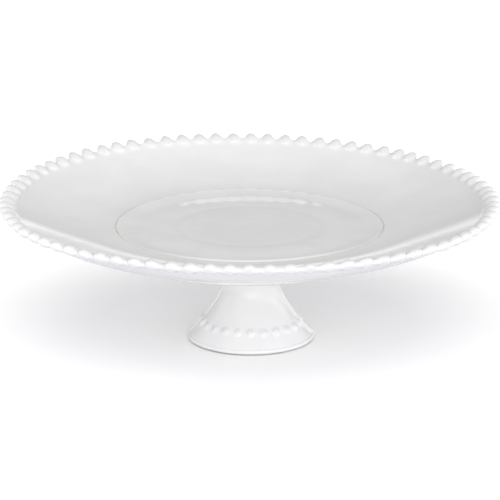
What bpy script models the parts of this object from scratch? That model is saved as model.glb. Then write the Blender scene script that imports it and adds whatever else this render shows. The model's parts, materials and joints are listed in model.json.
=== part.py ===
"""Footed cake stand: a wide stoneware plate with a pearl-beaded rim, luted onto a
hollow trumpet-shaped pedestal with a ring of small pearls above its base.

Units are metres, +Z is up. The origin is the centre of the circle the stand rests on.
"""

import math

import bmesh
import bpy
from mathutils import Matrix, Vector

NAME = "cake_stand"

# Clearance left between two clay pieces that touch.
GAP = 0.0003

# Plate: a well that is flat over the pedestal and sags round it, a raised ring, and the wall.
WELL_Z = 0.0800
WELL_FLAT_RADIUS = 0.0560
WELL_SAG_RADIUS = 0.0870
WELL_SAG_Z = 0.0792
WELL_SAG_SLOPE = -0.05
RING_RADIUS = 0.0914
RING_HALF_WIDTH = 0.0008
RING_Z = 0.0812
WALL_START_SLOPE = -0.06
WALL_HALF_THICKNESS = 0.0021

# Plate: underside with its foot ring.
UNDER_WELL_Z = 0.0725
SHOULDER = (0.0990, 0.0710)
SHOULDER_SLOPE = 0.15
FOOT_RING_Z = 0.0660
FOOT_RING_CENTRE = 0.0955
FOOT_RING_EDGE_RADIUS = 0.0021
PLATE_STEPS = 80

# Beaded rim: a round clay edge that swells into pearls.
RIM_ANGLE = math.radians(30.0)
RIM_EDGE_RADIUS = 0.0021
RIM_CENTRE = (0.1648, 0.0971)
PEARL_COUNT = 80
PEARL_RADIUS = 0.0045
PEARL_CENTRE = (0.1655, 0.0975)

# Pedestal: radii and heights of its outer and inner side.
BASE_RADIUS = 0.0426
LIP_Z = 0.0032
LIP_EDGE_RADIUS = 0.0017
LIP_CENTRE_RADIUS = 0.0420
NECK_RADIUS = 0.0200
NECK_Z = 0.0390
TOP_RADIUS = 0.0520
PEDESTAL_TOP_Z = 0.0710
TOP_EDGE_HEIGHT = 0.0020
NECK_WALL = 0.0055
INNER_BASE_RADIUS = 0.0372
INNER_TOP_RADIUS = 0.0420
LOWER_FLARE_POWER = 1.5
UPPER_FLARE_POWER = 2.1
PEDESTAL_STEPS = 48

# Foot pearls.
FOOT_PEARL_COUNT = 24
FOOT_PEARL_RADIUS = 0.0028
FOOT_PEARL_Z = 0.0132
FOOT_PEARL_LIFT = 0.0006

# Joint ring of slip.
JOINT_FILLET_RADIUS = 0.0050

# Finishes: base colour, roughness.
WHITE_GLAZE = ((0.86, 0.86, 0.85, 1.0), 0.14)
SLIP_GLAZE = ((0.82, 0.81, 0.80, 1.0), 0.22)


def clear_scene():
    """Remove every object that the file starts with."""
    for item in list(bpy.data.objects):
        bpy.data.objects.remove(item, do_unlink=True)


def new_collection(name):
    collection = bpy.data.collections.new(name)
    bpy.context.scene.collection.children.link(collection)
    return collection


def glaze(name, finish):
    """A Principled material for a glazed clay surface."""
    colour, roughness = finish
    material = bpy.data.materials.new(name)
    material.use_nodes = True
    shader = material.node_tree.nodes["Principled BSDF"]
    shader.inputs["Base Color"].default_value = colour
    shader.inputs["Roughness"].default_value = roughness
    shader.inputs["Metallic"].default_value = 0.0
    material.diffuse_color = colour
    return material


def dress(mesh, material):
    """Give a mesh its material and shade its round faces smooth."""
    mesh.materials.append(material)
    mesh.shade_smooth()
    mesh.set_sharp_from_angle(angle=math.radians(40.0))


def place(name, data, collection):
    piece = bpy.data.objects.new(name, data)
    collection.objects.link(piece)
    return piece


def arc(centre, radius, start, end, count):
    """Points on a circular arc in the (radius, height) plane, angles in degrees."""
    points = []
    for index in range(count + 1):
        angle = math.radians(start + (end - start) * index / count)
        points.append((centre[0] + radius * math.cos(angle), centre[1] + radius * math.sin(angle)))
    return points


def cubic(start, start_slope, end, end_slope, count):
    """Points along a cubic that leaves start and meets end at the slopes given."""
    span = end[0] - start[0]
    rise = end[1] - start[1] - start_slope * span
    turn = (end_slope - start_slope) * span
    points = []
    for index in range(count + 1):
        t = index / count
        height = start[1] + start_slope * span * t + (3 * rise - turn) * t**2 + (turn - 2 * rise) * t**3
        points.append((start[0] + span * t, height))
    return points


def spread(low, high, count):
    """Evenly spaced values from low to high, both ends included."""
    return [low + (high - low) * index / count for index in range(count + 1)]


def turned(name, profile, steps, closed, material, collection):
    """A turned piece: its (radius, height) profile swept round the Z axis."""
    mesh = bpy.data.meshes.new(name)
    edges = [(index, index + 1) for index in range(len(profile) - 1)]
    if closed:
        edges.append((len(profile) - 1, 0))
    mesh.from_pydata([(radius, 0.0, height) for radius, height in profile], edges, [])
    piece = place(name, mesh, collection)
    screw = piece.modifiers.new("turn", "SCREW")
    screw.axis = "Z"
    screw.angle = math.tau
    screw.steps = steps
    screw.render_steps = steps
    screw.use_merge_vertices = True
    screw.merge_threshold = 0.00005
    dress(mesh, material)
    return piece


def plate_profile():
    """From the axis over the well and wall to the edge, and back along the underside."""
    slope = math.tan(RIM_ANGLE)
    across = (WALL_HALF_THICKNESS * math.sin(RIM_ANGLE), WALL_HALF_THICKNESS * math.cos(RIM_ANGLE))
    edge_top = (RIM_CENTRE[0] - across[0], RIM_CENTRE[1] + across[1])
    edge_low = (RIM_CENTRE[0] + across[0], RIM_CENTRE[1] - across[1])
    sag = cubic((WELL_FLAT_RADIUS, WELL_Z), 0.0, (WELL_SAG_RADIUS, WELL_SAG_Z), WELL_SAG_SLOPE, 3)
    ring_inside = (RING_RADIUS - RING_HALF_WIDTH, RING_Z)
    ring_outside = (RING_RADIUS + RING_HALF_WIDTH, RING_Z)
    wall = cubic(ring_outside, WALL_START_SLOPE, edge_top, slope, 6)
    under = cubic(SHOULDER, SHOULDER_SLOPE, edge_low, slope, 5)
    foot_ring_centre = (FOOT_RING_CENTRE, FOOT_RING_Z + FOOT_RING_EDGE_RADIUS)
    foot_ring = arc(foot_ring_centre, FOOT_RING_EDGE_RADIUS, 0.0, -180.0, 4)
    recess = [(FOOT_RING_CENTRE - 2 * FOOT_RING_EDGE_RADIUS, UNDER_WELL_Z), (0.0, UNDER_WELL_Z)]
    return [(0.0, WELL_Z)] + sag + [ring_inside] + wall + under[::-1] + foot_ring + recess


def beaded_edge(name, extra, collection):
    """The rim's round edge with its pearls, extra thicker all over, as a closed curve."""
    curve = bpy.data.curves.new(name, "CURVE")
    curve.dimensions = "3D"
    curve.twist_mode = "Z_UP"
    curve.bevel_depth = PEARL_RADIUS
    curve.bevel_resolution = 2
    reach = math.sqrt(PEARL_RADIUS**2 - RIM_EDGE_RADIUS**2)
    stations = [-reach, -0.6 * reach, 0.0, 0.6 * reach, reach]
    spline = curve.splines.new("POLY")
    spline.points.add(PEARL_COUNT * len(stations) - 1)
    spline.use_cyclic_u = True
    for pearl in range(PEARL_COUNT):
        for number, along in enumerate(stations):
            thickness = math.sqrt(PEARL_RADIUS**2 - along**2)
            swell = (thickness - RIM_EDGE_RADIUS) / (PEARL_RADIUS - RIM_EDGE_RADIUS)
            radius = RIM_CENTRE[0] + (PEARL_CENTRE[0] - RIM_CENTRE[0]) * swell
            height = RIM_CENTRE[1] + (PEARL_CENTRE[1] - RIM_CENTRE[1]) * swell
            angle = math.tau * pearl / PEARL_COUNT + along / PEARL_CENTRE[0]
            point = spline.points[pearl * len(stations) + number]
            point.co = (radius * math.cos(angle), radius * math.sin(angle), height, 1.0)
            point.radius = (thickness + extra) / PEARL_RADIUS
    return place(name, curve, collection)


def as_mesh(piece, collection):
    """Replace a curve object by the mesh that it draws."""
    graph = bpy.context.evaluated_depsgraph_get()
    mesh = bpy.data.meshes.new_from_object(piece.evaluated_get(graph))
    name = piece.name
    bpy.data.objects.remove(piece)
    return place(name, mesh, collection)


def seat_edge(plate, collection):
    """Cut the plate's edge back to a seat that follows the beaded rim."""
    cutter = as_mesh(beaded_edge("rim_seat", GAP, collection), collection)
    cutter.hide_render = True
    cutter.display_type = "WIRE"
    cut = plate.modifiers.new("rim seat", "BOOLEAN")
    cut.operation = "DIFFERENCE"
    cut.solver = "EXACT"
    cut.object = cutter


def lower_flare(height, base_radius, neck_radius, base_z):
    """Radius of the pedestal's side between its base and its neck."""
    share = (NECK_Z - height) / (NECK_Z - base_z)
    return neck_radius + (base_radius - neck_radius) * share**LOWER_FLARE_POWER


def upper_flare(height, top_radius, neck_radius, top_z):
    """Radius of the pedestal's side between its neck and its top."""
    share = (height - NECK_Z) / (top_z - NECK_Z)
    return neck_radius + (top_radius - neck_radius) * share**UPPER_FLARE_POWER


def pedestal_profile():
    """Down the outer side, round the lip, across the flat base and up the inside."""
    edge_z = PEDESTAL_TOP_Z - TOP_EDGE_HEIGHT
    inner_neck = NECK_RADIUS - NECK_WALL
    outer = [(TOP_RADIUS, PEDESTAL_TOP_Z)]
    outer += [(upper_flare(z, TOP_RADIUS, NECK_RADIUS, edge_z), z) for z in spread(edge_z, NECK_Z, 6)]
    outer += [(lower_flare(z, BASE_RADIUS, NECK_RADIUS, LIP_Z), z) for z in spread(NECK_Z, LIP_Z, 6)[1:]]
    lip = arc((LIP_CENTRE_RADIUS, LIP_EDGE_RADIUS), LIP_EDGE_RADIUS, 45.0, -90.0, 3)
    inner = [(lower_flare(z, INNER_BASE_RADIUS, inner_neck, 0.0), z) for z in spread(0.0, NECK_Z, 5)]
    for z in spread(NECK_Z, PEDESTAL_TOP_Z, 5)[1:]:
        inner.append((upper_flare(z, INNER_TOP_RADIUS, inner_neck, PEDESTAL_TOP_Z), z))
    return outer + lip + inner


def joint_profile():
    """A thin bed of slip over the pedestal's top, and a hollow fillet round it."""
    bed_top = UNDER_WELL_Z - GAP
    bed_low = PEDESTAL_TOP_Z + GAP
    edge = TOP_RADIUS + GAP
    centre = (edge + JOINT_FILLET_RADIUS, bed_top - JOINT_FILLET_RADIUS)
    fillet = arc(centre, JOINT_FILLET_RADIUS - GAP, 90.0, 180.0, 3)
    bed = [(edge, bed_low), (INNER_TOP_RADIUS, bed_low), (INNER_TOP_RADIUS, bed_top)]
    return [(centre[0], bed_top)] + fillet + bed


def foot_pearl_mesh(material):
    """One foot pearl: a ball at +X, cut flat where it meets the pedestal's side."""
    step = 0.0001
    radius = lower_flare(FOOT_PEARL_Z, BASE_RADIUS, NECK_RADIUS, LIP_Z)
    above = lower_flare(FOOT_PEARL_Z + step, BASE_RADIUS, NECK_RADIUS, LIP_Z)
    outward = Vector((step, 0.0, radius - above)).normalized()
    side = Vector((radius, 0.0, FOOT_PEARL_Z))
    centre = side + outward * FOOT_PEARL_LIFT
    upright = Vector((0.0, 0.0, 1.0)).rotation_difference(outward).to_matrix().to_4x4()
    shape = bmesh.new()
    bmesh.ops.create_uvsphere(shape, u_segments=8, v_segments=6, radius=FOOT_PEARL_RADIUS)
    bmesh.ops.transform(shape, verts=shape.verts, matrix=Matrix.Translation(centre) @ upright)
    everything = shape.verts[:] + shape.edges[:] + shape.faces[:]
    seat = side + outward * GAP
    cut = bmesh.ops.bisect_plane(shape, geom=everything, plane_co=seat, plane_no=outward, clear_inner=True)
    border = [item for item in cut["geom_cut"] if isinstance(item, bmesh.types.BMEdge)]
    bmesh.ops.contextual_create(shape, geom=border)
    bmesh.ops.recalc_face_normals(shape, faces=shape.faces)
    mesh = bpy.data.meshes.new("foot_pearl")
    shape.to_mesh(mesh)
    shape.free()
    dress(mesh, material)
    return mesh


def main():
    clear_scene()
    parts = new_collection(NAME)
    cutters = new_collection("cutters")
    white = glaze("white_glaze", WHITE_GLAZE)
    slip = glaze("slip_glaze", SLIP_GLAZE)

    plate = turned("plate", plate_profile(), PLATE_STEPS, False, white, parts)
    seat_edge(plate, cutters)
    rim = as_mesh(beaded_edge("rim_pearls", 0.0, parts), parts)
    dress(rim.data, white)

    turned("pedestal", pedestal_profile(), PEDESTAL_STEPS, True, white, parts)
    turned("joint_ring", joint_profile(), PEDESTAL_STEPS, True, slip, parts)

    pearl = foot_pearl_mesh(white)
    for number in range(FOOT_PEARL_COUNT):
        bead = place(f"foot_pearl_{number + 1:02d}", pearl, parts)
        bead.rotation_euler.z = math.tau * number / FOOT_PEARL_COUNT


main()
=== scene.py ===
import json
import math

import bpy
import numpy as np
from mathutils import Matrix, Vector


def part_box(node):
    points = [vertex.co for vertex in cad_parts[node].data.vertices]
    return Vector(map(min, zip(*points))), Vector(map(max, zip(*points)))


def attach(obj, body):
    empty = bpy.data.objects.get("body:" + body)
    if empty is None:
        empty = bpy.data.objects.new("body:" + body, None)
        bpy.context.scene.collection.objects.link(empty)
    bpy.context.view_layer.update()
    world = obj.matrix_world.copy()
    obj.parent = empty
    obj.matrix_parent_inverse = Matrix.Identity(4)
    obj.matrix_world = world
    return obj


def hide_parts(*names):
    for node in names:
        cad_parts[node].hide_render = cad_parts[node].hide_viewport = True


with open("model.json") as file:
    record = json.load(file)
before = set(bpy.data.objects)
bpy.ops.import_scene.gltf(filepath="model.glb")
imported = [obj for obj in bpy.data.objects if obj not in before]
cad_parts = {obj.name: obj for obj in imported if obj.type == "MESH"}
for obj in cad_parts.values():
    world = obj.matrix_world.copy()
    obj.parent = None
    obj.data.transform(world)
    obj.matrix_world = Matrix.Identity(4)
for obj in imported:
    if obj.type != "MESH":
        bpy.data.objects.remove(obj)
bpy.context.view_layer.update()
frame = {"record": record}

MM = 0.001

# Rim: the wall's end and its rounded edge.
RIM_ANGLE = math.radians(24.0)
WALL_HALF_THICKNESS = 1.15 * MM
WALL_STRAIGHT = 3.0 * MM
EDGE_REACH = 0.9 * MM
EDGE_SET_BACK = 0.8 * MM
EDGE_TOP_RADIUS = 1.1 * MM
EDGE_LOW_RADIUS = 0.5 * MM

# Pearls on the rim, placed along and across the wall from the middle of the rim's edge.
PEARL_COUNT = 80
PEARL_ALONG = 1.2 * MM
PEARL_ACROSS = 0.7 * MM
PEARL_HALF_LENGTH = 5.1 * MM
PEARL_HALF_WIDTH = 3.65 * MM
PEARL_HALF_HEIGHT = 3.1 * MM
PEARL_BLEND = 1.55 * MM

# How far the CAD's pearls stand out and up past the middle of the rim's edge.
PEARL_REACH_OUT = 6.1 * MM
PEARL_REACH_UP = 4.8 * MM

# How unevenly the pearls are set: turns in degrees, sizes as a share.
PEARL_TURN_DRIFT = 0.22
PEARL_TURN_STRAY = 0.14
PEARL_SIZE_STRAY = 0.035
PEARL_ALONG_STRAY = 0.18 * MM
PEARL_ACROSS_STRAY = 0.12 * MM
PEARL_DRIFT_REACH = 3
PEARL_SEED = 11

# The rim is a piece of its own from RIM_START outwards.
RIM_START = 156.0 * MM
RIM_FADE = 5.0 * MM
RIM_SEGMENTS = PEARL_COUNT * 18
PLATE_SEGMENTS = RIM_SEGMENTS // 4

# How the fired rim strays from a flat circle: waves as (count, cosine part, sine part).
RIM_WAVES = (
    (0, -0.7 * MM, 0.0),
    (1, -0.4 * MM, 1.0 * MM),
    (2, -0.7 * MM, -0.8 * MM),
    (3, 0.45 * MM, 0.3 * MM),
)
RIM_WAVE_POWER = 1.5
RIM_WAVE_MOST = 1.2
RIM_OVAL = 0.9 * MM
WELL_TWIST = -0.25 * MM
WELL_TILT = -0.55 * MM
WELL_DROP = -0.5 * MM
PLATE_SHIFT = -0.8 * MM

# Well, its faint groove, the sag near its side and its raised ring.
GROOVE_RADIUS = 50.0 * MM
GROOVE_DEPTH = 0.16 * MM
GROOVE_HALF_WIDTH = 2.6 * MM
SAG_START = 61.0 * MM
SAG_END = 81.0 * MM
SAG_DEPTH = 0.40 * MM
GUTTER_RADIUS = 80.0 * MM
GUTTER_RISE = 0.85 * MM
GUTTER_POWER = 1.2
RING_RADIUS = 91.6 * MM
RING_WIDTH = 1.4 * MM
RING_RISE = 0.6 * MM
RING_POWER = 1.6
RING_ROUNDING = 0.35 * MM
WALL_START_SLOPE = -0.015
FLOOR_POINTS = 700
CURVE_STEPS = 60

# Underside of the plate.
WELL_THICKNESS = 7.5 * MM
SHOULDER_RADIUS = 99.0 * MM
SHOULDER_RISE = 5.0 * MM
SHOULDER_SLOPE = 0.12
SHOULDER_ROUNDING = 1.0 * MM
UNDER_RIM_SLOPE = 0.72
FOOT_RING_OUTER = 97.6 * MM
FOOT_RING_INNER = 93.4 * MM
FOOT_RING_EDGE = 1.9 * MM
FOOT_RING_TOP_ROUNDING = 2.0 * MM
RECESS_STEP = 1.5 * MM
RECESS_ROUNDING = 2.0 * MM
RECESS_FLAT_RADIUS = 60.0 * MM

# Pedestal, with its lip's turn in degrees, and its beads.
BASE_RADIUS = 42.6 * MM
LIP_Z = 3.9 * MM
LIP_GAP = 0.7 * MM
LIP_EDGE_RADIUS = 1.7 * MM
LIP_CENTRE_RADIUS = 42.0 * MM
LIP_STEP_OUTER = 0.6 * MM
LIP_STEP_INNER = 0.9 * MM
LIP_TURN = (45.0, -90.0)
LIP_POINTS = 28
INNER_POINTS = 40
NECK_RADIUS = 20.0 * MM
NECK_Z = 39.0 * MM
NECK_WALL = 5.5 * MM
INNER_BASE_RADIUS = 37.2 * MM
INNER_TOP_RADIUS = 42.0 * MM
TOP_EDGE_HEIGHT = 2.0 * MM
LOWER_FLARE_POWER = 1.5
UPPER_FLARE_POWER = 2.1
BEAD_COUNT = 24
BEAD_RADIUS = 3.5 * MM
BEAD_Z = 13.2 * MM
BEAD_LIFT = -2.2 * MM
BEAD_BLEND = 0.45 * MM
BEAD_TURN_STRAY = 0.5
BEAD_SIZE_STRAY = 0.03
BEAD_RISE_STRAY = 0.1 * MM
BEAD_BAND = 7.0 * MM
BEAD_SLOPE_STEP = 0.1 * MM
SIDE_MARGIN = 1.0 * MM
BEAD_SEED = 23
PEDESTAL_SEGMENTS = BEAD_COUNT * 20

# Slip joint under the plate.
JOINT_FILLET = 5.0 * MM
JOINT_TURN = (95.0, 180.0)
JOINT_POINTS = 24
JOINT_SKIRT_INSET = 0.4 * MM
JOINT_SKIRT_DROP = 3.5 * MM
JOINT_TOP_INSET = 0.2 * MM
JOINT_SEGMENTS = 288

# Spacing of the mesh rows along the sections, and how far each close spacing reaches.
ROWS_RING = 0.25 * MM
ROWS_FOOT_RING = 0.40 * MM
ROWS_PLATE = 2.4 * MM
ROWS_PEARLS = 0.42 * MM
ROWS_RIM = 0.75 * MM
ROWS_LIP = 0.36 * MM
ROWS_BEADS = 0.42 * MM
ROWS_PEDESTAL = 1.5 * MM
ROWS_JOINT = 0.5 * MM
RING_ROWS_REACH = 5.0 * MM
FOOT_RING_ROWS_FROM = 92.0 * MM
FOOT_RING_ROWS_TO = 102.0 * MM
FOOT_RING_ROWS_BELOW = 5.0 * MM
PEARL_ROWS_REACH = 7.0 * MM
LIP_ROWS_TOP = 5.0 * MM
LIP_ROWS_WIDTH = 3.0 * MM
BEAD_ROWS_REACH = 5.0 * MM
OUTSIDE_ROWS_MARGIN = 2.0 * MM
LINE_STEP = 0.05 * MM
LINE_BLUR_STEPS = 30
SAME_PLACE = 1e-8
CORNER_POINTS = 13
CORNER_SHARE = 0.49

# Soft union of a surface with the round cores that swell out of it.
MOST_HEIGHT = 9.0 * MM
HALVINGS = 22
LEAST_EXPONENT = -20.0
MOST_EXPONENT = 40.0

# Where the glaze is thin: amounts, and widths or heights of the places.
THIN_EDGE = 0.4
THIN_EDGE_WIDTH = 0.7 * MM
THIN_EDGE_INSET = 0.3 * MM
THIN_EDGE_FADE = 1.0 * MM
THIN_FOOT = 0.7
THIN_FOOT_WIDTH = 0.8 * MM
THIN_FOOT_INSET = 0.5 * MM
THIN_FOOT_RISE = 0.4 * MM
THIN_RING_WIDTH = 0.45 * MM
# Painted highlight: the ring's tan is taken out on its +y side, where a highlight lies.
RING_HIGHLIGHT_WHITENING = 0.88
RING_HIGHLIGHT_SIDE = (0.35, 0.75)
THIN_PEARL = 0.05
THIN_PEARL_HEIGHTS = (0.8 * MM, 2.4 * MM)
THIN_LIP = 0.2
THIN_LIP_WIDTH = 0.5 * MM
THIN_LIP_REACH = 0.9 * MM
# Tan on the bead caps: partly thin glaze, partly painted shade.
BEAD_THIN_AND_SHADE = 0.15
BEAD_THIN_AND_SHADE_HEIGHTS = (0.6 * MM, 1.1 * MM)
BASE_CLAY_HEIGHT = 0.05 * MM

# Curvatures in 1/m, from none to all, at which the glaze thins, or at which the painted shading is
# laid.
PEDESTAL_THIN_BEND = (420.0, 1200.0)
JOINT_THIN_BEND = (900.0, 2000.0)
ROUND_SHADING_BEND = (60.0, 400.0)
RIM_SHADE_BEND = (40.0, 300.0)

# Where the plate is given painted shade, and where it is stained.
SHADE_DOWNWARD = (0.1, 0.6)
PEARL_SHADE = 0.3
PEARL_SHADE_HEIGHTS = (0.6 * MM, 1.8 * MM)
STAIN_GROOVE = 0.8
STAIN_MIDDLE = 0.5
STAIN_OUTER_RADIUS = 62.0 * MM
STAIN_INNER_RADIUS = 30.0 * MM

# Glaze colours.
PLATE_WHITE = (0.845, 0.845, 0.842)
# Painted shade: the darker, cooler colour laid on the plate's underside, rim valleys and pearls.
PLATE_SHADE_COLOUR = (0.50, 0.50, 0.57)
PEDESTAL_WHITE = (0.845, 0.845, 0.848)
# Painted light: the brighter colour laid in the hollow bends round the pedestal's beads.
PEDESTAL_LIGHT_COLOUR = (0.97, 0.97, 0.97)
SLIP_WHITE = (0.80, 0.79, 0.78)
# The slip joint's colour in its hollow bends.
SLIP_HOLLOW_COLOUR = (0.84, 0.84, 0.85)
CLOUD_SHADE = (0.965, 0.960, 0.968)
STAIN_COLOUR = (0.80, 0.755, 0.745)
THIN_COLOUR = (0.58, 0.46, 0.37)
CLAY_COLOUR = (0.60, 0.50, 0.41)
# How much of the painted shade or painted light colour is laid where its mark is full.
SHADING_SHARE = 0.6
CLAY_DULLNESS = 0.6
GLAZE_IOR = 1.6

# Glaze texture: noises as (scale, detail, roughness), how a noise is spread as
# (from low, from high, to low, to high), and heights as shares of the ripple.
CLOUD_NOISE = (26.0, 3.0, 0.6)
GRAIN_NOISE = (420.0, 3.0, 0.6)
PEEL_NOISE = (95.0, 2.0, 0.45)
STREAK_NOISE = (1.0, 3.0, 0.6)
STREAK_STRETCH = (60.0, 260.0, 60.0)
CLOUD_SPREAD = (0.35, 0.65, 0.0, 1.0)
STREAK_SPREAD = (0.3, 0.7, 0.15, 0.75)
THIN_SPREAD = (0.30, 0.62, 0.25, 1.0)
CLAY_SPREAD = (0.2, 0.5, 0.8, 1.0)
GLOSS_SPREAD = (0.3, 0.7, 0.015, 0.035)
RINGS_SCALE = 42.0
RINGS_DISTORTION = 3.0
RINGS_DETAIL = 2.0
RINGS_DETAIL_SCALE = 0.6
PLATE_RIPPLE = 0.003 * MM
PEDESTAL_RIPPLE = 0.012 * MM
SLIP_RIPPLE = 0.02 * MM
PEEL_BUMP = 3.0
GRAIN_BUMP = 0.1

# Studio floor: white, with painted light of its own that grows away from the stand, so that the
# weaker glow near it is a painted shadow and none under the lip a painted contact shadow.
FLOOR_SIZE = 16.0
FLOOR_DARK = (0.838, 0.838, 0.840)
FLOOR_LIGHT = (0.848, 0.848, 0.850)
FLOOR_NOISE = (3.0, 2.0, 0.5)
FLOOR_ROUGHNESS = 0.9
FLOOR_NEAR_GLOW = 0.130
FLOOR_FAR_GLOW = 0.40
FLOOR_NEAR_RADIUS = 95.0 * MM
FLOOR_FAR_RADIUS = 225.0 * MM
FLOOR_SHADOW_CENTRE = (0.003, 0.030, 0.0)
FLOOR_CONTACT_SHADOW_WIDTH = 2.5 * MM

# Soft light round the stand, as (azimuth, elevation, tightness, brightness).
# Azimuth 0 is the camera's side and 90 is its right.
STUDIO_GLOWS = (
    (0, 19, 5, 2.70),
    (45, 20, 5, 0.36),
    (90, 20, 5, 1.75),
    (180, 20, 5, 0.45),
    (270, 20, 5, 1.05),
    (0, 90, 4, 0.37),
)

# A bright band low behind the stand, between two heights of the view direction.
BACKDROP_LOW = 0.10
BACKDROP_HIGH = 0.19
BACKDROP_GLOW = 0.9
BACKDROP_LEFT = -0.45
BACKDROP_RIGHT = 0.15
BACKDROP_LEFT_SHARE = 0.3
BACKDROP_DEPTH = 0.5

# Softboxes, as (name, azimuth, elevation, width, height, watts).
SOFTBOXES = (
    ("left_box", -90.0, 35.0, 0.7, 0.7, 2.9),
    ("left_strip", -52.0, 26.0, 0.10, 0.34, 0.9),
    ("right_strip", 58.0, 26.0, 0.20, 0.34, 1.3),
)
SOFTBOX_DISTANCE = 1.6
SOFTBOX_AIM_Z = 80.0 * MM

CAMERA_AIM_X = -0.6 * MM
CAMERA_AIM_Z = 62.2 * MM
CAMERA_DISTANCE = 2.102
CAMERA_ELEVATION = 16.36
CAMERA_LENS = 220.9
CAMERA_SENSOR = 36.0
CAMERA_NEAREST = 0.1
CAMERA_FARTHEST = 30.0


# ---------------------------------------------------------------- lines, as (radius, height)

def ramp(values, low, high):
    """0 below low, 1 above high, smooth between."""
    share = np.clip((values - low) / (high - low), 0.0, 1.0)
    return share * share * (3 - 2 * share)


def cubic(start, start_slope, end, end_slope, count):
    """A cubic from start to end with the slopes given."""
    span = end[0] - start[0]
    rise = end[1] - start[1] - start_slope * span
    turn = (end_slope - start_slope) * span
    t = np.linspace(0.0, 1.0, count + 1)
    height = start[1] + start_slope * span * t
    height = height + (3 * rise - turn) * t**2 + (turn - 2 * rise) * t**3
    return [(start[0] + span * a, b) for a, b in zip(t, height)]


def rounded(points, radii):
    """A polyline whose corners turn on curves of about the radii given; 0 leaves a corner sharp."""
    made = [points[0]]
    for before, corner, after, radius in zip(points, points[1:], points[2:], radii[1:-1]):
        if radius == 0.0:
            made.append(corner)
            continue
        corner = np.array(corner)
        back = np.array(before) - corner
        ahead = np.array(after) - corner
        back_length = np.linalg.norm(back)
        ahead_length = np.linalg.norm(ahead)
        cosine = float(back @ ahead) / (back_length * ahead_length)
        half_angle = 0.5 * math.acos(max(-1.0, min(1.0, cosine)))
        room = CORNER_SHARE * min(back_length, ahead_length)
        cut = min(radius / math.tan(half_angle), room)
        first = corner + back * cut / back_length
        last = corner + ahead * cut / ahead_length
        weight = math.sin(half_angle)
        for t in np.linspace(0.0, 1.0, CORNER_POINTS):
            share = np.array([(1 - t) ** 2, 2 * t * (1 - t) * weight, t**2])
            place = share[0] * first + share[1] * corner + share[2] * last
            made.append(tuple(place / share.sum()))
    made.append(points[-1])
    return made


def resample(points, spacing):
    """The polyline with points at the distances that spacing(radius, height) asks for."""
    points = np.array(points)
    apart = np.linalg.norm(np.diff(points, axis=0), axis=1)
    points = points[np.concatenate([[True], apart > SAME_PLACE])]
    lengths = np.linalg.norm(np.diff(points, axis=0), axis=1)
    along = np.concatenate([[0.0], np.cumsum(lengths)])
    fine = np.linspace(0.0, along[-1], int(along[-1] / LINE_STEP) + 2)
    fine_r = np.interp(fine, along, points[:, 0])
    fine_z = np.interp(fine, along, points[:, 1])
    density = np.array([1.0 / spacing(r, z) for r, z in zip(fine_r, fine_z)])
    reach = min(LINE_BLUR_STEPS, len(density) // 4)
    window = np.ones(2 * reach + 1) / (2 * reach + 1)
    density = np.convolve(np.pad(density, reach, mode="edge"), window, "valid")
    steps = 0.5 * (density[1:] + density[:-1]) * np.diff(fine)
    count = np.concatenate([[0.0], np.cumsum(steps)])
    total = max(2, int(round(count[-1])))
    stations = np.interp(np.linspace(0.0, count[-1], total + 1), count, fine)
    radius = np.interp(stations, along, points[:, 0])
    height = np.interp(stations, along, points[:, 1])
    return np.stack([radius, height], 1)


def left_normals(profile, closed):
    """Unit normals on the left of a profile's direction, which is the side outside the clay."""
    if closed:
        ahead = np.roll(profile, -1, axis=0) - np.roll(profile, 1, axis=0)
    else:
        ahead = np.gradient(profile, axis=0)
    ahead = ahead / np.linalg.norm(ahead, axis=1)[:, None]
    return np.stack([-ahead[:, 1], ahead[:, 0]], 1)


def near(profile, place, width):
    """1 at a place of the profile, fading over the width given."""
    apart = np.hypot(profile[:, 0] - place[0], profile[:, 1] - place[1])
    return np.exp(-((apart / width) ** 2))


def groove_shape(radius):
    """1 in the middle of the well's groove, fading over its half width."""
    return np.exp(-(((radius - GROOVE_RADIUS) / GROOVE_HALF_WIDTH) ** 2))


# ---------------------------------------------------------------- sections of the pieces

def read_frame():
    """The stand's main places, read from the CAD nodes and the record."""
    plate_low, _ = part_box("plate")
    _, rim_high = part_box("rim_pearls")
    _, pedestal_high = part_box("pedestal")
    _, joint_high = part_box("joint_ring")
    mounts = frame["record"]["mounts"]
    rest = next(mount for mount in mounts if mount["name"] == "cake_rest")
    return {
        "well_z": rest["pos_m"][2],
        "foot_ring_z": plate_low.z,
        "edge_r": rim_high.x - PEARL_REACH_OUT,
        "edge_z": rim_high.z - PEARL_REACH_UP,
        "pedestal_top_r": pedestal_high.x,
        "pedestal_top_z": pedestal_high.z,
        "joint_high_z": joint_high.z,
    }


def on_rim(sizes, along, across):
    """A place by the wall's own directions, from the middle of the rim's edge."""
    outward = (math.cos(RIM_ANGLE), math.sin(RIM_ANGLE))
    return (
        sizes["edge_r"] + along * outward[0] - across * outward[1],
        sizes["edge_z"] + along * outward[1] + across * outward[0],
    )


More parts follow.
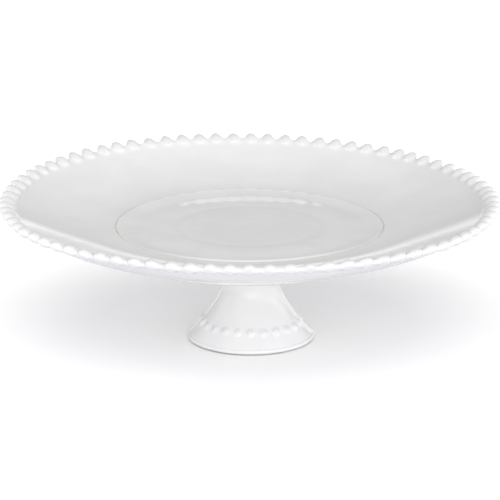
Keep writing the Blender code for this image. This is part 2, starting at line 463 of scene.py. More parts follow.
def plate_top_line(sizes):
    """The well, its ring and the hollow wall, from the axis to the wall's straight end."""
    floor_r = np.linspace(0.0, RING_RADIUS, FLOOR_POINTS)
    floor_z = sizes["well_z"] - GROOVE_DEPTH * groove_shape(floor_r)
    floor_z -= SAG_DEPTH * ramp(floor_r, SAG_START, SAG_END)
    gentle = ((floor_r - GUTTER_RADIUS) / (RING_RADIUS - GUTTER_RADIUS)).clip(0.0)
    sharp = ((floor_r - RING_RADIUS + RING_WIDTH) / RING_WIDTH).clip(0.0)
    floor_z += GUTTER_RISE * gentle**GUTTER_POWER
    floor_z += (RING_RISE + SAG_DEPTH - GUTTER_RISE) * sharp**RING_POWER
    floor = list(zip(floor_r, floor_z))
    wall_end = on_rim(sizes, -WALL_STRAIGHT, WALL_HALF_THICKNESS)
    slope = math.tan(RIM_ANGLE)
    wall = cubic(floor[-1], WALL_START_SLOPE, wall_end, slope, CURVE_STEPS)
    crest = rounded([floor[-8], floor[-1], wall[1]], [0, RING_ROUNDING, 0])
    return floor[:-7] + crest[1:-1] + wall[1:]


def rim_edge_line(sizes):
    """The rounded end of the wall, from its top round to the underside."""
    corners = [
        on_rim(sizes, -WALL_STRAIGHT, WALL_HALF_THICKNESS),
        on_rim(sizes, EDGE_REACH, WALL_HALF_THICKNESS),
        on_rim(sizes, EDGE_REACH, -WALL_HALF_THICKNESS),
        on_rim(sizes, -EDGE_SET_BACK, -WALL_HALF_THICKNESS),
    ]
    return rounded(corners, [0, EDGE_TOP_RADIUS, EDGE_LOW_RADIUS, 0])


def plate_under_line(sizes, start):
    """The underside from the rim's edge over the foot ring to the axis."""
    foot_z = sizes["foot_ring_z"]
    recess_z = sizes["well_z"] - WELL_THICKNESS
    shoulder = (SHOULDER_RADIUS, foot_z + SHOULDER_RISE)
    under = cubic(shoulder, SHOULDER_SLOPE, start, UNDER_RIM_SLOPE, CURVE_STEPS)[::-1]
    corners = [
        (under[-2], 0),
        (shoulder, SHOULDER_ROUNDING),
        ((FOOT_RING_OUTER, foot_z + 0.5 * SHOULDER_RISE), FOOT_RING_TOP_ROUNDING),
        ((FOOT_RING_OUTER, foot_z), FOOT_RING_EDGE),
        ((FOOT_RING_INNER, foot_z), FOOT_RING_EDGE),
        ((FOOT_RING_INNER - RECESS_STEP, recess_z), RECESS_ROUNDING),
        ((RECESS_FLAT_RADIUS, recess_z), 0),
        ((0.0, recess_z), 0),
    ]
    foot = rounded([place for place, _ in corners], [radius for _, radius in corners])
    return under[1:-1] + foot[1:]


def plate_runs(sizes):
    """The plate's section in three runs: the top inside RIM_START, the rim, and the underside."""
    edge = rim_edge_line(sizes)
    line = np.array(plate_top_line(sizes) + edge[1:] + plate_under_line(sizes, edge[-1]))
    turn = int(np.argmax(line[:, 0]))
    top = line[: turn + 1]
    low = line[turn:]
    split_top = int(np.searchsorted(top[:, 0], RIM_START))
    split_low = int(np.argmax(low[:, 0] < RIM_START))
    seam_top = (RIM_START, float(np.interp(RIM_START, top[:, 0], top[:, 1])))
    seam_low = (RIM_START, float(np.interp(RIM_START, low[::-1, 0], low[::-1, 1])))
    top_run = np.vstack([top[:split_top], [seam_top]])
    rim_run = np.vstack([[seam_top], top[split_top:], low[1:split_low], [seam_low]])
    low_run = np.vstack([[seam_low], low[split_low:]])
    return top_run, rim_run, low_run


def lower_flare(height, base_radius, neck_radius, base_z):
    """Radius of the pedestal's side between its base and its neck."""
    share = (NECK_Z - height) / (NECK_Z - base_z)
    return neck_radius + (base_radius - neck_radius) * share**LOWER_FLARE_POWER


def upper_flare(height, top_radius, neck_radius, top_z):
    """Radius of the pedestal's side between its neck and its top."""
    share = (height - NECK_Z) / (top_z - NECK_Z)
    return neck_radius + (top_radius - neck_radius) * share**UPPER_FLARE_POWER


def pedestal_side(height):
    """Radius of the pedestal's outer side at a height up to its neck."""
    return lower_flare(height, BASE_RADIUS, NECK_RADIUS, LIP_Z)


def pedestal_profile(sizes):
    """Down the outer side, round the lip, across the base, up the inside and over the top."""
    top_r = sizes["pedestal_top_r"]
    top_z = sizes["pedestal_top_z"]
    edge_z = top_z - TOP_EDGE_HEIGHT
    inner_neck = NECK_RADIUS - NECK_WALL
    line = [(top_r, top_z)]
    for z in np.linspace(edge_z, NECK_Z, CURVE_STEPS):
        line.append((upper_flare(z, top_r, NECK_RADIUS, edge_z), z))
    for z in np.linspace(NECK_Z, LIP_Z, CURVE_STEPS)[1:]:
        line.append((pedestal_side(z), z))
    for turn in np.radians(np.linspace(*LIP_TURN, LIP_POINTS)):
        radius = LIP_CENTRE_RADIUS + LIP_EDGE_RADIUS * math.cos(turn)
        line.append((radius, LIP_GAP + LIP_EDGE_RADIUS * (1 + math.sin(turn))))
    line.append((LIP_CENTRE_RADIUS - LIP_STEP_OUTER, LIP_GAP))
    line.append((LIP_CENTRE_RADIUS - LIP_STEP_INNER, 0.0))
    for z in np.linspace(0.0, NECK_Z, INNER_POINTS):
        line.append((lower_flare(z, INNER_BASE_RADIUS, inner_neck, 0.0), z))
    for z in np.linspace(NECK_Z, top_z, INNER_POINTS)[1:]:
        line.append((upper_flare(z, INNER_TOP_RADIUS, inner_neck, top_z), z))
    return line + line[:1]


def joint_profile(sizes):
    """A bed of slip on the pedestal's top with a hollow fillet round it."""
    top_r = sizes["pedestal_top_r"]
    bed_top = sizes["joint_high_z"]
    bed_low = sizes["pedestal_top_z"]
    centre = (top_r + JOINT_FILLET, bed_top - JOINT_FILLET)
    line = [(centre[0] - JOINT_TOP_INSET, bed_top)]
    for turn in np.radians(np.linspace(*JOINT_TURN, JOINT_POINTS)):
        radius = centre[0] + JOINT_FILLET * math.cos(turn)
        line.append((radius, centre[1] + JOINT_FILLET * math.sin(turn)))
    line.append((top_r - JOINT_SKIRT_INSET, bed_low - JOINT_SKIRT_DROP))
    line.append((INNER_TOP_RADIUS, bed_low))
    line.append((INNER_TOP_RADIUS, bed_top))
    return line + line[:1]


# ---------------------------------------------------------------- surfaces swept round the axis

def sweep(profile, heights, turns, closed):
    """Points of a profile swept round the axis, each lifted along its normal by its height."""
    normals = left_normals(profile, closed)
    radius = profile[:, 0, None] + normals[:, 0, None] * heights
    height = profile[:, 1, None] + normals[:, 1, None] * heights
    return np.stack([radius * np.cos(turns), radius * np.sin(turns), height], 2)


def union_height(profile, columns, cores, blend, closed):
    """How far the glaze stands off a profile's surface where round cores swell out of it.

    A core is a function from a point to its distance outside the core. The answer is found by
    halving: the place along the surface's normal where the soft union of the surface and the
    cores is reached."""
    normals = left_normals(profile, closed)
    low = np.zeros((len(profile), columns))
    high = np.full_like(low, MOST_HEIGHT)
    for _ in range(HALVINGS):
        middle = 0.5 * (low + high)
        radius = profile[:, 0, None] + normals[:, 0, None] * middle
        height = profile[:, 1, None] + normals[:, 1, None] * middle
        total = np.exp(-middle / blend)
        for core in cores:
            apart = core(radius, height) / blend
            total += np.exp(-np.clip(apart, LEAST_EXPONENT, MOST_EXPONENT))
        outside = total < 1.0
        high = np.where(outside, middle, high)
        low = np.where(outside, low, middle)
    return 0.5 * (low + high)


def surface_normals(points, closed):
    """Unit normals of a swept grid, and its mean curvature in 1/m, positive where it bulges."""
    def along(values):
        if closed:
            return np.roll(values, -1, axis=0) - np.roll(values, 1, axis=0)
        first = values[1:2] - values[:1]
        last = values[-1:] - values[-2:-1]
        return np.concatenate([first, values[2:] - values[:-2], last])

    def around(values):
        return np.roll(values, -1, axis=1) - np.roll(values, 1, axis=1)

    down = along(points)
    across = around(points)
    normals = np.cross(down, across)
    normals /= np.maximum(np.linalg.norm(normals, axis=2), 1e-15)[:, :, None]
    bend = (along(normals) * down).sum(2) / np.maximum((down**2).sum(2), 1e-14)
    bend += (around(normals) * across).sum(2) / np.maximum((across**2).sum(2), 1e-14)
    return normals, 0.5 * bend


def warp(points, sizes):
    """The firing's slow waves and oval, which grow from the raised ring to the rim, with a
    slight drop, tilt and twist of the well and a small shift of the whole plate."""
    radius = np.hypot(points[:, :, 0], points[:, :, 1])
    turns = np.arctan2(points[:, :, 1], points[:, :, 0])
    share = (radius - RING_RADIUS) / (sizes["edge_r"] - RING_RADIUS)
    share = np.clip(share, 0.0, RIM_WAVE_MOST) ** RIM_WAVE_POWER
    lift = np.zeros_like(radius)
    for count, cosine, sine in RIM_WAVES:
        lift += cosine * np.cos(count * turns) + sine * np.sin(count * turns)
    grow = 1.0 + RIM_OVAL * np.cos(2 * turns) * share / radius.clip(1 * MM)
    inward = np.minimum(radius, RING_RADIUS) / RING_RADIUS
    well = WELL_DROP + WELL_TILT * np.sin(turns) * inward
    well += WELL_TWIST * np.sin(2 * turns) * inward**2
    moved = points.copy()
    moved[:, :, 0] *= grow
    moved[:, :, 1] *= grow
    moved[:, :, 0] += PLATE_SHIFT
    moved[:, :, 2] += lift * share + well * np.clip(1 - share, 0.0, 1.0)
    return moved


class MeshMaker:
    """Collects the rings of a round piece, with their normals and marks, and joins them."""

    def __init__(self):
        self.points = []
        self.normals = []
        self.marks = []
        self.faces = []

    def ring(self, points, normals, marks):
        """Adds a ring of points and gives the numbers of its vertices."""
        start = len(self.points)
        self.points.extend(points.tolist())
        self.normals.extend(normals.tolist())
        self.marks.extend(marks.tolist())
        return list(range(start, start + len(points)))

    def fan(self, pole, ring, pole_first):
        """Faces between a ring and the single point at its middle."""
        for a, b in zip(ring, ring[1:] + ring[:1]):
            self.faces.append((pole, a, b) if pole_first else (a, pole, b))

    def strip(self, first, second):
        """Faces from one ring to the next; one may have several times the points of the other."""
        if len(first) == 1:
            self.fan(first[0], second, True)
            return
        if len(second) == 1:
            self.fan(second[0], first, False)
            return
        cells = min(len(first), len(second))
        a_step = len(first) // cells
        b_step = len(second) // cells
        for cell in range(cells):
            a_run = [first[(cell * a_step + k) % len(first)] for k in range(a_step + 1)]
            b_run = [second[(cell * b_step + k) % len(second)] for k in range(b_step + 1)]
            self.faces.append(tuple(a_run[:1] + b_run + a_run[:0:-1]))

    def build(self, name):
        """The mesh object, with its marks as attributes that the glaze reads."""
        mesh = bpy.data.meshes.new(name)
        mesh.from_pydata(self.points, [], self.faces)
        mesh.update()
        marks = np.array(self.marks, np.float32)
        for number, label in enumerate(("glaze_break", "glaze_pool", "well_stain", "bare_clay")):
            layer = mesh.attributes.new(label, "FLOAT", "POINT")
            layer.data.foreach_set("value", marks[:, number])
        mesh.shade_smooth()
        mesh.normals_split_custom_set_from_vertices(self.normals)
        piece = bpy.data.objects.new(name, mesh)
        bpy.context.scene.collection.objects.link(piece)
        return piece


# ---------------------------------------------------------------- the plate and its rim

def pearl_places(chance):
    """Each pearl's turn, size and place on the wall, a little irregular as hand-set pearls are."""
    steps = chance.normal(0.0, 1.0, PEARL_COUNT)
    window = range(-PEARL_DRIFT_REACH, PEARL_DRIFT_REACH + 1)
    drift = sum(np.roll(steps, k) for k in window) / math.sqrt(len(window))
    stray = chance.normal(0.0, 1.0, PEARL_COUNT)
    turn = math.tau * np.arange(PEARL_COUNT) / PEARL_COUNT
    turn += np.radians(PEARL_TURN_DRIFT * drift + PEARL_TURN_STRAY * stray)
    size = 1 + PEARL_SIZE_STRAY * chance.normal(0.0, 1.0, PEARL_COUNT)
    along = PEARL_ALONG + PEARL_ALONG_STRAY * chance.normal(0.0, 1.0, PEARL_COUNT)
    across = PEARL_ACROSS + PEARL_ACROSS_STRAY * chance.normal(0.0, 1.0, PEARL_COUNT)
    return turn, size, along, across


def nearest_two(turns, turn):
    """For each column, the two round shapes nearest to it: their numbers and how far they turn
    from it, where turn holds the turn of each shape."""
    step = math.tau / len(turn)
    first = np.floor(turns / step).astype(int)
    found = []
    for offset in (0, 1):
        number = (first + offset) % len(turn)
        apart = turns - turn[number] - (first + offset - number) * step
        found.append((number, apart))
    return found


def pearl_cores(sizes, turns, chance):
    """Distance functions of the two pearls nearest to each column, long along the wall."""
    turn, size, along, across = pearl_places(chance)
    cosine = math.cos(RIM_ANGLE)
    sine = math.sin(RIM_ANGLE)
    cores = []
    for number, apart in nearest_two(turns, turn):

        def core(radius, height, number=number, apart=apart):
            out = radius * np.cos(apart) - sizes["edge_r"]
            up = height - sizes["edge_z"]
            u = (out * cosine + up * sine - along[number]) / PEARL_HALF_LENGTH
            v = (up * cosine - out * sine - across[number]) / (PEARL_HALF_HEIGHT * size[number])
            w = radius * np.sin(apart) / (PEARL_HALF_WIDTH * size[number])
            reach = np.sqrt(u**2 + v**2 + w**2)
            steep = (u / PEARL_HALF_LENGTH) ** 2 + (v / PEARL_HALF_HEIGHT) ** 2
            steep = np.sqrt(steep + (w / PEARL_HALF_WIDTH) ** 2)
            return reach * (reach - 1) / np.maximum(steep, 1.0)

        cores.append(core)
    return cores


def plate_rows(sizes):
    """The plate's whole section as mesh rows, and the two rows where its three runs meet."""
    top_run, rim_run, low_run = plate_runs(sizes)

    def wide(radius, height):
        if abs(radius - RING_RADIUS) < RING_ROWS_REACH:
            return ROWS_RING
        below = height < sizes["well_z"] - FOOT_RING_ROWS_BELOW
        if below and FOOT_RING_ROWS_FROM < radius < FOOT_RING_ROWS_TO:
            return ROWS_FOOT_RING
        return ROWS_PLATE

    def fine(radius, height):
        return ROWS_PEARLS if radius > sizes["edge_r"] - PEARL_ROWS_REACH else ROWS_RIM

    top = resample(top_run, wide)
    rim = resample(rim_run, fine)
    low = resample(low_run, wide)
    profile = np.concatenate([top, rim[1:], low[1:]])
    return profile, len(top) - 1, len(top) + len(rim) - 2


def thin_glaze(sizes, profile, heights, turns):
    """Where the glaze breaks to tan: the rim's lower edge, the foot ring, faintly the tops of
    the pearls, and the well's ring, whose tan is painted out on its +y side as a painted highlight."""
    edge = on_rim(sizes, EDGE_REACH - THIN_EDGE_INSET, -WALL_HALF_THICKNESS)
    foot = (FOOT_RING_OUTER - THIN_FOOT_INSET, sizes["foot_ring_z"] + THIN_FOOT_RISE)
    crest = (RING_RADIUS, sizes["well_z"] + RING_RISE)
    valley = np.exp(-heights / THIN_EDGE_FADE)
    ring_tan_kept = 1.0 - RING_HIGHLIGHT_WHITENING * ramp(np.sin(turns), *RING_HIGHLIGHT_SIDE)
    thin = THIN_EDGE * near(profile, edge, THIN_EDGE_WIDTH)[:, None] * valley
    thin = thin + THIN_FOOT * near(profile, foot, THIN_FOOT_WIDTH)[:, None]
    thin = np.maximum(thin, near(profile, crest, THIN_RING_WIDTH)[:, None] * ring_tan_kept)
    thin = np.maximum(thin, THIN_PEARL * ramp(heights, *THIN_PEARL_HEIGHTS))
    return np.clip(thin, 0, 1)


def painted_shading_mask(profile, heights, normals, bend):
    """Painted shade, darker and cooler: on the underside, in the valleys of the rim and on the
    pearls.
    """
    radius = profile[:, 0, None]
    underside_shade = ramp(-normals[:, :, 2], *SHADE_DOWNWARD) * (radius > FOOT_RING_INNER)
    shading = ramp(-bend, *RIM_SHADE_BEND) * (radius > SHOULDER_RADIUS)
    shading = np.maximum(shading, underside_shade)
    return np.maximum(shading, PEARL_SHADE * ramp(heights, *PEARL_SHADE_HEIGHTS))


def well_stain(profile, seam_top):
    """A faint warm stain in the groove and over the middle of the well."""
    stain = STAIN_GROOVE * groove_shape(profile[:, 0])
    stain += STAIN_MIDDLE * ramp(-profile[:, 0], -STAIN_OUTER_RADIUS, -STAIN_INNER_RADIUS)
    upper = np.arange(len(profile)) < seam_top
    return (stain * upper)[:, None] * np.ones(RIM_SEGMENTS)


def plate_skin(sizes):
    """The whole plate's surface as one grid, and the rows where its three runs meet."""
    profile, seam_top, seam_low = plate_rows(sizes)
    turns = math.tau * np.arange(RIM_SEGMENTS) / RIM_SEGMENTS
    cores = pearl_cores(sizes, turns, np.random.default_rng(PEARL_SEED))
    rim = slice(seam_top, seam_low + 1)
    heights = np.zeros((len(profile), RIM_SEGMENTS))
    heights[rim] = union_height(profile[rim], RIM_SEGMENTS, cores, PEARL_BLEND, False)
    heights *= ramp(profile[:, 0], RIM_START, RIM_START + RIM_FADE)[:, None]
    points = warp(sweep(profile, heights, turns, False), sizes)
    normals, bend = surface_normals(points, False)
    normals[0] = (0.0, 0.0, 1.0)
    normals[-1] = (0.0, 0.0, -1.0)
    thin = thin_glaze(sizes, profile, heights, turns)
    shading = painted_shading_mask(profile, heights, normals, bend)
    stain = well_stain(profile, seam_top)
    marks = np.stack([thin, shading, stain, np.zeros_like(shading)], 2)
    return points, normals, marks, seam_top, seam_low


def make_plate(sizes):
    """The plate inside RIM_START and the beaded rim outside it, two closed pieces."""
    points, normals, marks, seam_top, seam_low = plate_skin(sizes)
    thinner = RIM_SEGMENTS // PLATE_SEGMENTS
    poles = (0, len(points) - 1)
    seams = (seam_top, seam_low)
    plate = MeshMaker()
    rings = []
    for row in range(len(points)):
        if seam_top < row < seam_low:
            continue
        pick = slice(None, 1) if row in poles else slice(None, None, 1 if row in seams else thinner)
        rings.append(plate.ring(points[row, pick], normals[row, pick], marks[row, pick]))
    for first, second in zip(rings, rings[1:]):
        plate.strip(first, second)
    rim = MeshMaker()
    rows = range(seam_top, seam_low + 1)
    rings = [rim.ring(points[row], normals[row], marks[row]) for row in rows]
    for first, second in zip(rings, rings[1:] + rings[:1]):
        rim.strip(first, second)
    return plate.build("glazed_plate"), rim.build("beaded_rim")


# ---------------------------------------------------------------- the pedestal and its joint

def bead_cores(turns, chance):
    """Distance functions of the two foot beads nearest to each column."""
    stray = chance.normal(0.0, 1.0, BEAD_COUNT)
    turn = math.tau / BEAD_COUNT * np.arange(BEAD_COUNT) + np.radians(BEAD_TURN_STRAY * stray)
    size = BEAD_RADIUS * (1 + BEAD_SIZE_STRAY * chance.normal(0.0, 1.0, BEAD_COUNT))
    rise = BEAD_Z + BEAD_RISE_STRAY * chance.normal(0.0, 1.0, BEAD_COUNT)
    side_r = pedestal_side(rise)
    slope = (pedestal_side(rise + BEAD_SLOPE_STEP) - side_r) / BEAD_SLOPE_STEP
    centre_r = side_r + BEAD_LIFT / np.sqrt(1 + slope**2)
    centre_z = rise - BEAD_LIFT * slope / np.sqrt(1 + slope**2)
    cores = []
    for number, apart in nearest_two(turns, turn):

        def core(radius, height, number=number, apart=apart):
            side = radius * np.sin(apart)
            out = radius * np.cos(apart) - centre_r[number]
            up = height - centre_z[number]
            return np.sqrt(out**2 + up**2 + side**2) - size[number]

        cores.append(core)
    return cores


def make_round(name, profile, heights, extra_thin, thin_range):
    """A closed ring-shaped piece from a closed profile, with its marks."""
    segments = heights.shape[1]
    turns = math.tau * np.arange(segments) / segments
    points = sweep(profile, heights, turns, True)
    normals, bend = surface_normals(points, True)
    thin = np.clip(ramp(bend, *thin_range) + extra_thin, 0, 1)
    # Painted light in the pedestal's hollow bends; on the slip joint, its hollow colour.
    shading = ramp(-bend, *ROUND_SHADING_BEND)
    bare = (profile[:, 1] < BASE_CLAY_HEIGHT).astype(float)[:, None] * np.ones(segments)
    marks = np.stack([thin, shading, np.zeros_like(shading), bare], 2)
    maker = MeshMaker()
    rings = [maker.ring(points[row], normals[row], marks[row]) for row in range(len(points))]
    for first, second in zip(rings, rings[1:] + rings[:1]):
        maker.strip(first, second)
    return maker.build(name)


def make_pedestal(sizes):
    """The flared collar with its ring of beads and its lip, hollow and open at both ends."""
    def spacing(radius, height):
        outside = radius > pedestal_side(min(height, NECK_Z)) - OUTSIDE_ROWS_MARGIN
        if height < LIP_ROWS_TOP and radius > INNER_BASE_RADIUS + LIP_ROWS_WIDTH:
            return ROWS_LIP
        if outside and height < BEAD_Z + BEAD_ROWS_REACH:
            return ROWS_BEADS
        return ROWS_PEDESTAL

    profile = resample(pedestal_profile(sizes), spacing)[:-1]
    turns = math.tau * np.arange(PEDESTAL_SEGMENTS) / PEDESTAL_SEGMENTS
    cores = bead_cores(turns, np.random.default_rng(BEAD_SEED))
    heights = union_height(profile, PEDESTAL_SEGMENTS, cores, BEAD_BLEND, True)
    band = np.abs(profile[:, 1] - BEAD_Z) < BEAD_BAND
    side = pedestal_side(np.minimum(profile[:, 1], NECK_Z))
    outside = profile[:, 0] > side - SIDE_MARGIN
    heights *= (band & outside)[:, None]
    lip = (LIP_CENTRE_RADIUS + THIN_LIP_REACH, LIP_Z)
    thin = THIN_LIP * near(profile, lip, THIN_LIP_WIDTH)[:, None]
    # Bead caps darkened: partly thin glaze, partly painted shade.
    thin = thin + BEAD_THIN_AND_SHADE * ramp(heights, *BEAD_THIN_AND_SHADE_HEIGHTS)
    return make_round("glazed_pedestal", profile, heights, thin, PEDESTAL_THIN_BEND)


def make_joint(sizes):
    """The ring of slip between the pedestal's top and the plate."""
    profile = resample(joint_profile(sizes), lambda radius, height: ROWS_JOINT)[:-1]
    flat = np.zeros((len(profile), JOINT_SEGMENTS))
    return make_round("slip_joint", profile, flat, flat, JOINT_THIN_BEND)


# ---------------------------------------------------------------- materials

class Tree:
    """Short ways to add and link the nodes of a material or a world."""

    def __init__(self, tree):
        self.tree = tree

    def add(self, kind, **settings):
        node = self.tree.nodes.new(kind)
        for key, value in settings.items():
            setattr(node, key, value)
        return node

    def link(self, source, target):
        self.tree.links.new(source, target)

    def math(self, operation, *values):
        """The result of a Math node whose inputs are numbers or sockets."""
        node = self.add("ShaderNodeMath", operation=operation)
        for socket, value in zip(node.inputs, values):
            if isinstance(value, (int, float)):
                socket.default_value = value
            else:
                self.link(value, socket)
        return node.outputs[0]

    def vector(self, operation, where, constant, result):
        """The named result of a Vector Math node on a socket and a constant."""
        node = self.add("ShaderNodeVectorMath", operation=operation)
        self.link(where, node.inputs[0])
        if constant is not None:
            node.inputs[1].default_value = constant
        return node.outputs[result]

    def noise(self, where, scale, detail, roughness):
        node = self.add("ShaderNodeTexNoise")
        node.inputs["Scale"].default_value = scale
        node.inputs["Detail"].default_value = detail
        node.inputs["Roughness"].default_value = roughness
        self.link(where, node.inputs["Vector"])
        return node.outputs["Fac"]

    def mark(self, label):
        return self.add("ShaderNodeAttribute", attribute_name=label).outputs["Fac"]

    def remap(self, value, low, high, to_low, to_high):
        node = self.add("ShaderNodeMapRange", interpolation_type="SMOOTHSTEP")
        self.link(value, node.inputs["Value"])
        node.inputs["From Min"].default_value = low
        node.inputs["From Max"].default_value = high
        node.inputs["To Min"].default_value = to_low
        node.inputs["To Max"].default_value = to_high
        return node.outputs["Result"]

    def blend(self, share, first, second):
        """A colour between first and second, either of which may be a colour or a socket."""
        node = self.add("ShaderNodeMix", data_type="RGBA")
        self.link(share, node.inputs["Factor"])
        for name, value in (("A", first), ("B", second)):
            socket = [i for i in node.inputs if i.name == name and i.type == "RGBA"][0]
            if isinstance(value, tuple):
                socket.default_value = (*value, 1.0)
            else:
                self.link(value, socket)
        return [o for o in node.outputs if o.type == "RGBA"][0]

    def bump(self, height, distance, normal=None):
        node = self.add("ShaderNodeBump")
        node.inputs["Strength"].default_value = 1.0
        node.inputs["Distance"].default_value = distance
        self.link(height, node.inputs["Height"])
        if normal is not None:
            self.link(normal, node.inputs["Normal"])
        return node.outputs["Normal"]

    def throwing_rings(self, where):
        """Fine uneven rings round the axis, as a potter's wheel leaves."""
        node = self.add("ShaderNodeTexWave", wave_type="RINGS", rings_direction="Z")
        node.wave_profile = "SIN"
        node.inputs["Scale"].default_value = RINGS_SCALE
        node.inputs["Distortion"].default_value = RINGS_DISTORTION
        node.inputs["Detail"].default_value = RINGS_DETAIL
        node.inputs["Detail Scale"].default_value = RINGS_DETAIL_SCALE
        self.link(where, node.inputs["Vector"])
        return node.outputs["Fac"]


def new_material(name):
    """A material with its Tree, its Principled shader and its object coordinates."""
    material = bpy.data.materials.new(name)
    material.use_nodes = True
    tree = Tree(material.node_tree)
    shader = material.node_tree.nodes["Principled BSDF"]
    where = tree.add("ShaderNodeTexCoord").outputs["Object"]
    return material, tree, shader, where


def glaze_material(name, white, shading_colour, ripple):
    """White glaze over buff clay: glossy, a little uneven, thin and tan on sharp edges."""
    material, tree, shader, where = new_material(name)
    cloud = tree.noise(where, *CLOUD_NOISE)
    grain = tree.noise(where, *GRAIN_NOISE)
    peel = tree.noise(where, *PEEL_NOISE)
    stretched = tree.vector("MULTIPLY", where, STREAK_STRETCH, "Vector")
    streak = tree.noise(stretched, *STREAK_NOISE)

    shade = tuple(c * d for c, d in zip(white, CLOUD_SHADE))
    colour = tree.blend(tree.remap(cloud, *CLOUD_SPREAD), white, shade)
    # Painted shade on the plate and painted light on the pedestal, laid by the painted shading
    # mark.
    shading = tree.math("MULTIPLY", tree.mark("glaze_pool"), SHADING_SHARE)
    colour = tree.blend(shading, colour, shading_colour)
    streaks = tree.remap(streak, *STREAK_SPREAD)
    stain = tree.math("MULTIPLY", tree.mark("well_stain"), streaks)
    colour = tree.blend(stain, colour, STAIN_COLOUR)
    grains = tree.remap(grain, *THIN_SPREAD)
    worn = tree.math("MULTIPLY", tree.mark("glaze_break"), grains)
    colour = tree.blend(worn, colour, THIN_COLOUR)
    clay_grains = tree.remap(grain, *CLAY_SPREAD)
    bare = tree.math("MULTIPLY", tree.mark("bare_clay"), clay_grains)
    colour = tree.blend(bare, colour, CLAY_COLOUR)
    tree.link(colour, shader.inputs["Base Color"])

    gloss = tree.remap(cloud, *GLOSS_SPREAD)
    roughness = tree.math("MULTIPLY_ADD", bare, CLAY_DULLNESS, gloss)
    tree.link(roughness, shader.inputs["Roughness"])

    normal = tree.bump(tree.throwing_rings(where), ripple)
    normal = tree.bump(peel, PEEL_BUMP * ripple, normal)
    normal = tree.bump(grain, GRAIN_BUMP * ripple, normal)
    tree.link(normal, shader.inputs["Normal"])
    shader.inputs["IOR"].default_value = GLAZE_IOR
    return material


def floor_material():
    """A plain matt white with painted glow that grows with distance, a painted shadow round the
    stand, and none under it, a painted contact shadow.
    """
    material, tree, shader, where = new_material("studio_floor")
    cloud = tree.noise(where, *FLOOR_NOISE)
    tree.link(tree.blend(cloud, FLOOR_DARK, FLOOR_LIGHT), shader.inputs["Base Color"])
    shader.inputs["Roughness"].default_value = FLOOR_ROUGHNESS
    shader.inputs["Specular IOR Level"].default_value = 0.0
    shader.inputs["Emission Color"].default_value = (1.0, 1.0, 1.0, 1.0)
    # The glow is painted light: weaker near the stand as a painted shadow, none under the lip as a
    # painted contact shadow.
    apart = tree.vector("DISTANCE", where, FLOOR_SHADOW_CENTRE, "Value")
    axis = tree.vector("LENGTH", where, None, "Value")
    reach = (FLOOR_NEAR_RADIUS, FLOOR_FAR_RADIUS)
    glow = tree.remap(apart, *reach, FLOOR_NEAR_GLOW, FLOOR_FAR_GLOW)
    contact_shadow_reach = (LIP_CENTRE_RADIUS, LIP_CENTRE_RADIUS + FLOOR_CONTACT_SHADOW_WIDTH)
    outside_contact_shadow = tree.remap(axis, *contact_shadow_reach, 0.0, 1.0)
    tree.link(tree.math("MULTIPLY", glow, outside_contact_shadow), shader.inputs["Emission Strength"])
    return material


# ---------------------------------------------------------------- studio

def towards(azimuth, elevation):
    """A direction from the stand, with azimuth 0 at the camera's side and 90 at its right."""
    turn = math.radians(azimuth)
    rise = math.radians(elevation)
    ahead = math.cos(rise)
    return Vector((math.sin(turn) * ahead, -math.cos(turn) * ahead, math.sin(rise)))


def place(holder, aim, way, distance):
    """Puts a light or camera at a distance from its aim, looking back at it."""
    bpy.context.scene.collection.objects.link(holder)
    holder.location = aim + way * distance
    holder.rotation_mode = "QUATERNION"
    holder.rotation_quaternion = (-way).to_track_quat("-Z", "Y")


def make_floor():
    """A wide flat floor under the stand."""
    half = FLOOR_SIZE / 2
    corners = [(-half, -half, 0), (half, -half, 0), (half, half, 0), (-half, half, 0)]
    mesh = bpy.data.meshes.new("studio_floor")
    mesh.from_pydata(corners, [], [(0, 1, 2, 3)])
    floor = bpy.data.objects.new("studio_floor", mesh)
    bpy.context.scene.collection.objects.link(floor)
    mesh.materials.append(floor_material())


def make_softbox(name, azimuth, elevation, width, height, watts):
    """A rectangular soft light that looks at the stand."""
    light = bpy.data.lights.new(name, "AREA")
    light.shape = "RECTANGLE"
    light.size = width
    light.size_y = height
    light.energy = watts
    aim = Vector((0, 0, SOFTBOX_AIM_Z))
    place(bpy.data.objects.new(name, light), aim, towards(azimuth, elevation), SOFTBOX_DISTANCE)


def studio_glow(tree, where):
    """The sum of the broad glows round and over the stand."""
    total = None
    for azimuth, elevation, tightness, brightness in STUDIO_GLOWS:
        facing = tree.vector("DOT_PRODUCT", where, towards(azimuth, elevation), "Value")
        ahead = tree.math("MAXIMUM", facing, 0.0)
        falloff = tree.math("POWER", ahead, tightness)
        glow = tree.math("MULTIPLY", falloff, brightness)
        total = glow if total is None else tree.math("ADD", total, glow)
    return total


def backdrop_glow(tree, where):
    """A bright band low behind the stand, weaker on its left."""
    parts = tree.add("ShaderNodeSeparateXYZ")
    tree.link(where, parts.inputs[0])
    low = tree.remap(parts.outputs["Z"], BACKDROP_LOW, BACKDROP_HIGH, BACKDROP_GLOW, 0.0)
    behind = tree.remap(parts.outputs["Y"], 0.0, BACKDROP_DEPTH, 0.0, 1.0)
    sides = (BACKDROP_LEFT, BACKDROP_RIGHT)
    side = tree.remap(parts.outputs["X"], *sides, BACKDROP_LEFT_SHARE, 1.0)
    return tree.math("MULTIPLY", low, tree.math("MULTIPLY", behind, side))


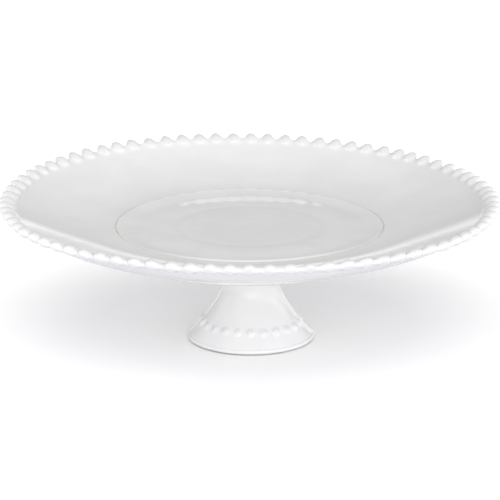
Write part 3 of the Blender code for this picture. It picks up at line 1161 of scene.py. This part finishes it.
def make_world():
    """A soft white studio all round the stand."""
    world = bpy.data.worlds.new("studio")
    bpy.context.scene.world = world
    world.use_nodes = True
    tree = Tree(world.node_tree)
    background = world.node_tree.nodes["Background"]
    where = tree.add("ShaderNodeTexCoord").outputs["Generated"]
    total = tree.math("ADD", studio_glow(tree, where), backdrop_glow(tree, where))
    tree.link(total, background.inputs["Strength"])
    background.inputs["Color"].default_value = (1.0, 1.0, 1.0, 1.0)


def make_camera():
    """A long lens, so that the stand is drawn almost without perspective."""
    lens = bpy.data.cameras.new("camera")
    lens.sensor_width = CAMERA_SENSOR
    lens.lens = CAMERA_LENS
    lens.clip_start = CAMERA_NEAREST
    lens.clip_end = CAMERA_FARTHEST
    camera = bpy.data.objects.new("camera", lens)
    aim = Vector((CAMERA_AIM_X, 0, CAMERA_AIM_Z))
    place(camera, aim, towards(0.0, CAMERA_ELEVATION), CAMERA_DISTANCE)
    bpy.context.scene.camera = camera


def wear(piece, material, slot, *nodes):
    """Gives a piece its material and its body, and hides the CAD nodes it stands for; its slot is
    not used.
    """
    piece.data.materials.append(material)
    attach(piece, "root")
    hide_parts(*nodes)


def make_stand():
    """The four glazed pieces of the stand."""
    sizes = read_frame()
    white = glaze_material("white_glaze_skin", PLATE_WHITE, PLATE_SHADE_COLOUR, PLATE_RIPPLE)
    foot_white = glaze_material(
        "pedestal_glaze_skin", PEDESTAL_WHITE, PEDESTAL_LIGHT_COLOUR, PEDESTAL_RIPPLE
    )
    slip = glaze_material("slip_glaze_skin", SLIP_WHITE, SLIP_HOLLOW_COLOUR, SLIP_RIPPLE)
    plate, rim = make_plate(sizes)
    wear(plate, white, "white_glaze", "plate")
    wear(rim, white, "white_glaze", "rim_pearls")
    beads = [f"foot_pearl_{number + 1:02d}" for number in range(BEAD_COUNT)]
    wear(make_pedestal(sizes), foot_white, "white_glaze", "pedestal", *beads)
    wear(make_joint(sizes), slip, "slip_glaze", "joint_ring")


def main():
    bpy.context.scene.view_settings.view_transform = "Standard"
    make_stand()
    make_floor()
    for softbox in SOFTBOXES:
        make_softbox(*softbox)
    make_world()
    make_camera()


main()
